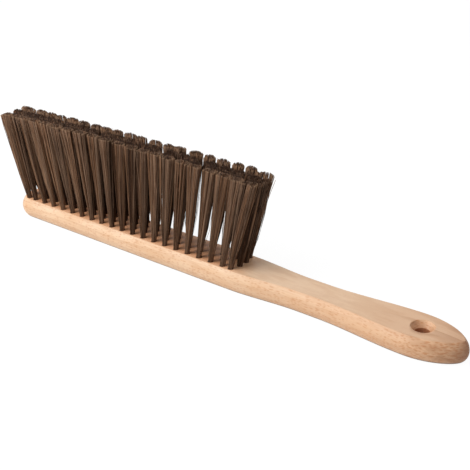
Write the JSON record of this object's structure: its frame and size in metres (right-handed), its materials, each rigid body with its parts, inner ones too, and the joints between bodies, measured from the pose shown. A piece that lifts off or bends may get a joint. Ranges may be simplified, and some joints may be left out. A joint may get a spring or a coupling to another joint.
{
  "type": "hand brush",
  "caption": "Long wooden hand brush with a flat waisted handle, a countersunk hang hole and staggered rows of tall brown tufts that fan out to a flat trim.",
  "frame": {"origin": "on the stock's flat back, halfway along it and on its centre line", "axes": "+X along the stock to the handle's tip, +Z out of the bristle side, the brush lying on its back"},
  "size_m": [0.3787, 0.035, 0.0793],
  "materials": {
    "beech": "sanded raw beech, fine brown ray flecks",
    "brown_filament": "dark brown synthetic bristle, soft sheen",
    "anchor_steel": "flat drawn steel wire"
  },
  "bodies": {
    "root": {"stock": "beech", "tuft_rank_01": "brown_filament", "tuft_rank_02": "brown_filament", "tuft_rank_03": "brown_filament", "tuft_rank_04": "brown_filament", "tuft_rank_05": "brown_filament", "tuft_rank_06": "brown_filament", "tuft_rank_07": "brown_filament", "tuft_rank_08": "brown_filament", "tuft_rank_09": "brown_filament", "tuft_rank_10": "brown_filament", "tuft_rank_11": "brown_filament", "tuft_rank_12": "brown_filament", "tuft_rank_13": "brown_filament", "tuft_rank_14": "brown_filament", "tuft_rank_15": "brown_filament", "tuft_rank_16": "brown_filament", "tuft_rank_17": "brown_filament", "tuft_rank_18": "brown_filament", "tuft_rank_19": "brown_filament", "tuft_rank_20": "brown_filament", "tuft_rank_21": "brown_filament", "anchor_wire_row_1": "anchor_steel", "anchor_wire_row_2": "anchor_steel", "anchor_wire_row_3": "anchor_steel", "anchor_wire_row_4": "anchor_steel"}
  },
  "joints": []
}
